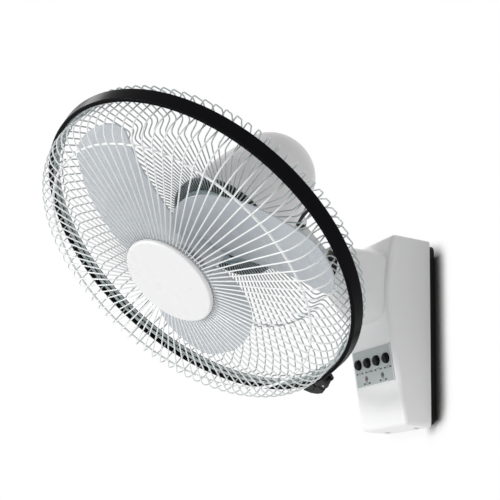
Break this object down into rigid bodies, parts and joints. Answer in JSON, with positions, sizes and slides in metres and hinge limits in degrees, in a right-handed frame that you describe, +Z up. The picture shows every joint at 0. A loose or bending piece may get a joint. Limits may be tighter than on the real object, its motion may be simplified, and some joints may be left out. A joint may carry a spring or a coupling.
{
  "type": "wall mounted fan",
  "caption": "Wall mounted electric fan: round wire guard with black trim band, wide-bladed propeller and domed motor on a short swinging arm above a wall box with push buttons.",
  "frame": {"origin": "centre of the wall plate's back face, half way between its four wall screw holes", "axes": "+X to the right seen from the front, +Y into the wall, +Z up; the wall is the plane y = 0"},
  "size_m": [0.4417, 0.5364, 0.3674],
  "materials": {
    "white_gloss": "glossy white moulding",
    "black_plastic": "satin black moulding",
    "black_gloss": "glossy black moulding",
    "label_film": "printed grey-green film",
    "lamp_red": "clear red",
    "lamp_green": "clear green",
    "circuit_board": "green circuit board",
    "steel_screw": "zinc plated",
    "battery_case": "dark case",
    "grey_plastic": "grey-green moulding",
    "bearing_bronze": "plain bronze",
    "painted_steel": "light grey paint",
    "black_steel": "black paint",
    "cast_aluminium": "cast",
    "core_steel": "laminated",
    "copper_winding": "enamelled wire",
    "white_wire": "white powder coat",
    "propeller_plastic": "light bluish grey, glossy"
  },
  "bodies": {
    "base": {"wall_plate": "black_plastic", "base_housing": "white_gloss", "housing_screws": "steel_screw", "panel_label": "label_film", "led_red": "lamp_red", "led_green": "lamp_green", "control_board": "circuit_board", "board_screws": "steel_screw", "button_switches": "black_plastic", "battery": "battery_case", "power_board": "circuit_board", "transformer": "core_steel", "power_inlet": "black_plastic", "pan_bush": "bearing_bronze", "swing_motor": "steel_screw"},
    "neck": {"pan_shaft": "steel_screw", "swivel_ball": "black_plastic", "neck_stem": "painted_steel", "tilt_bolt": "steel_screw", "tilt_nut": "steel_screw"},
    "head": {"tilt_bracket": "black_steel", "motor_shell": "white_gloss", "motor_cover": "black_plastic", "motor_frame": "cast_aluminium", "frame_screws": "steel_screw", "bearings": "bearing_bronze", "stator": "core_steel", "coils": "copper_winding", "front_guard_wires": "white_wire", "rear_guard_wires": "white_wire", "front_rim_ring": "white_wire", "rear_rim_ring": "white_wire", "front_support_ring": "white_wire", "front_centre_ring": "white_wire", "rear_plate": "grey_plastic", "guard_nut": "black_plastic", "front_cap": "white_gloss", "cap_retainer": "white_gloss", "cap_screws": "steel_screw", "trim_band": "black_gloss", "latch_base": "black_plastic", "latch_keeper": "black_plastic", "latch_pin": "steel_screw"},
    "rotor": {"rotor_core": "core_steel", "rotor_shaft": "steel_screw", "drive_pin": "steel_screw", "propeller": "propeller_plastic", "propeller_nut": "black_plastic"},
    "latch": {"latch_lever": "black_plastic"},
    "button_1_body": {"button_1": "black_gloss"},
    "button_2_body": {"button_2": "black_gloss"},
    "button_3_body": {"button_3": "black_gloss"},
    "button_4_body": {"button_4": "black_gloss"}
  },
  "joints": [
    {"name": "head_pan", "type": "hinge", "parent": "base", "child": "neck", "pos_m": [0, -0.126, 0.082], "axis": [0, 0, 1], "range_deg": [-53, 26.8]},
    {"name": "head_tilt", "type": "hinge", "parent": "neck", "child": "head", "pos_m": [0.01596, -0.19443, 0.12986], "axis": [0.9739, 0.2272, 0], "range_deg": [-51, 6]},
    {"name": "propeller_spin", "type": "hinge", "parent": "head", "child": "rotor", "pos_m": [0.05225, -0.34999, 0.0545], "axis": [0.1425, -0.611, -0.7787], "continuous": true},
    {"name": "latch_open", "type": "hinge", "parent": "head", "child": "latch", "pos_m": [0.06001, -0.16974, -0.08551], "axis": [0.1425, -0.611, -0.7787], "range_deg": [0, 95]},
    {"name": "button_1_press", "type": "slide", "parent": "base", "child": "button_1_body", "axis": [0, 0.9831, 0.1829], "range_m": [0, 0.0015], "stiffness_N_per_m": 400, "springref_m": -0.001},
    {"name": "button_2_press", "type": "slide", "parent": "base", "child": "button_2_body", "axis": [0, 0.9831, 0.1829], "range_m": [0, 0.0015], "stiffness_N_per_m": 400, "springref_m": -0.001},
    {"name": "button_3_press", "type": "slide", "parent": "base", "child": "button_3_body", "axis": [0, 0.9831, 0.1829], "range_m": [0, 0.0015], "stiffness_N_per_m": 400, "springref_m": -0.001},
    {"name": "button_4_press", "type": "slide", "parent": "base", "child": "button_4_body", "axis": [0, 0.9831, 0.1829], "range_m": [0, 0.0015], "stiffness_N_per_m": 400, "springref_m": -0.001}
  ]
}
